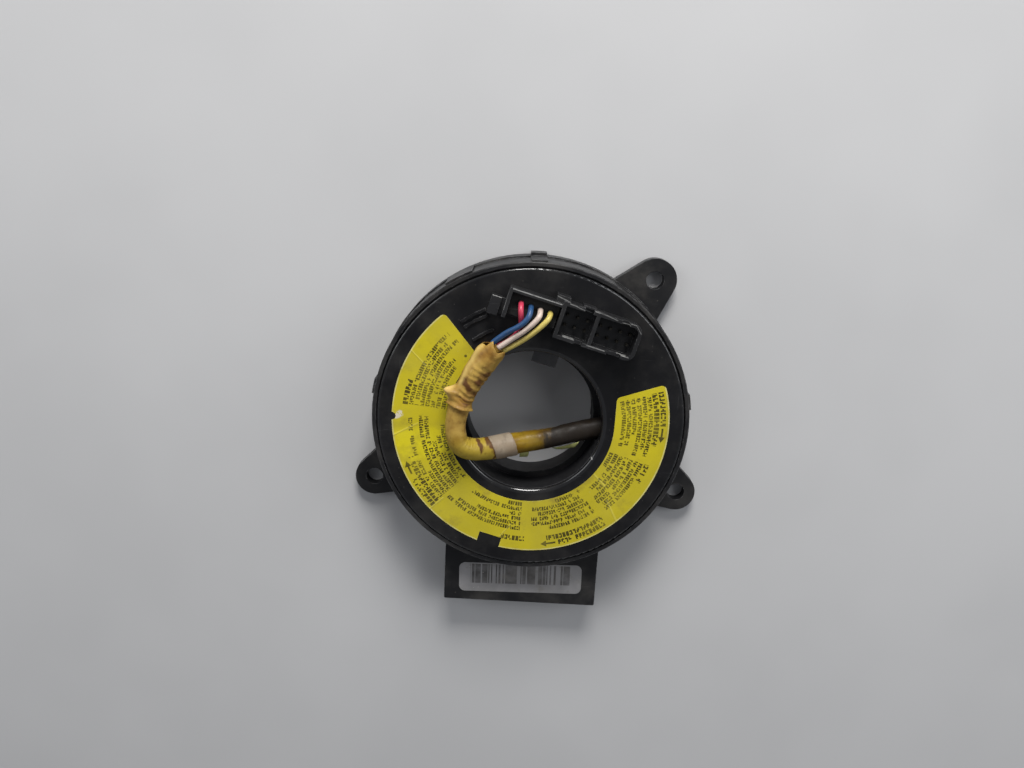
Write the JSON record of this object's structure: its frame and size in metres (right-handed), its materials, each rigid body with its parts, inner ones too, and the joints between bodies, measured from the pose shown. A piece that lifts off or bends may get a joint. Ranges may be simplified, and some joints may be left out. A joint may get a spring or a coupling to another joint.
{
  "type": "steering clock spring",
  "caption": "Round two-part rotary connector for a steering column: a rotor disc with harness and sockets turns in a case with three ears and a connector box.",
  "frame": {"origin": "on the steering axis, in the rear seating plane", "axes": "+Z towards the steering wheel along the steering axis, +Y away from the connector box"},
  "size_m": [0.1194, 0.1225, 0.0322],
  "materials": {
    "black_plastic": "satin moulded, lightly scuffed",
    "dark_plastic": "matt moulded",
    "natural_plastic": "natural moulded",
    "slip_film": "thin film",
    "cable_film": "laminated film",
    "pin_metal": "tinned",
    "white_label": "printed paper film",
    "yellow_label": "printed film",
    "yellow_tape": "dirty wound tape",
    "white_tape": "wound tape",
    "amber_tape": "dirty wound tape",
    "pink_wire": "wire insulation",
    "blue_wire": "wire insulation",
    "white_wire": "wire insulation",
    "yellow_wire": "wire insulation"
  },
  "bodies": {
    "stator": {"stator_base": "black_plastic", "stator_case": "black_plastic", "barcode_label": "white_label", "lower_slip_sheet": "slip_film", "outer_lead_block": "natural_plastic", "stator_terminal_block": "natural_plastic", "stator_terminal_pins": "pin_metal", "flat_cable": "cable_film"},
    "rotor": {"rotor_disc": "black_plastic", "rotor_sleeve": "black_plastic", "upper_slip_sheet": "slip_film", "inner_lead_block": "natural_plastic", "front_connector_housing": "black_plastic", "front_terminal_pins": "pin_metal", "wire_plug": "dark_plastic", "yellow_sheet": "yellow_label", "yellow_tape_wrap": "yellow_tape", "white_tape_band": "white_tape", "amber_tape_wrap": "amber_tape", "wire_pink": "pink_wire", "wire_blue": "blue_wire", "wire_white": "white_wire", "wire_yellow": "yellow_wire"}
  },
  "joints": [
    {"name": "rotor_turn", "type": "hinge", "parent": "stator", "child": "rotor", "pos_m": [0, 0, 0], "axis": [0, 0, 1], "range_deg": [-885, 915]}
  ]
}
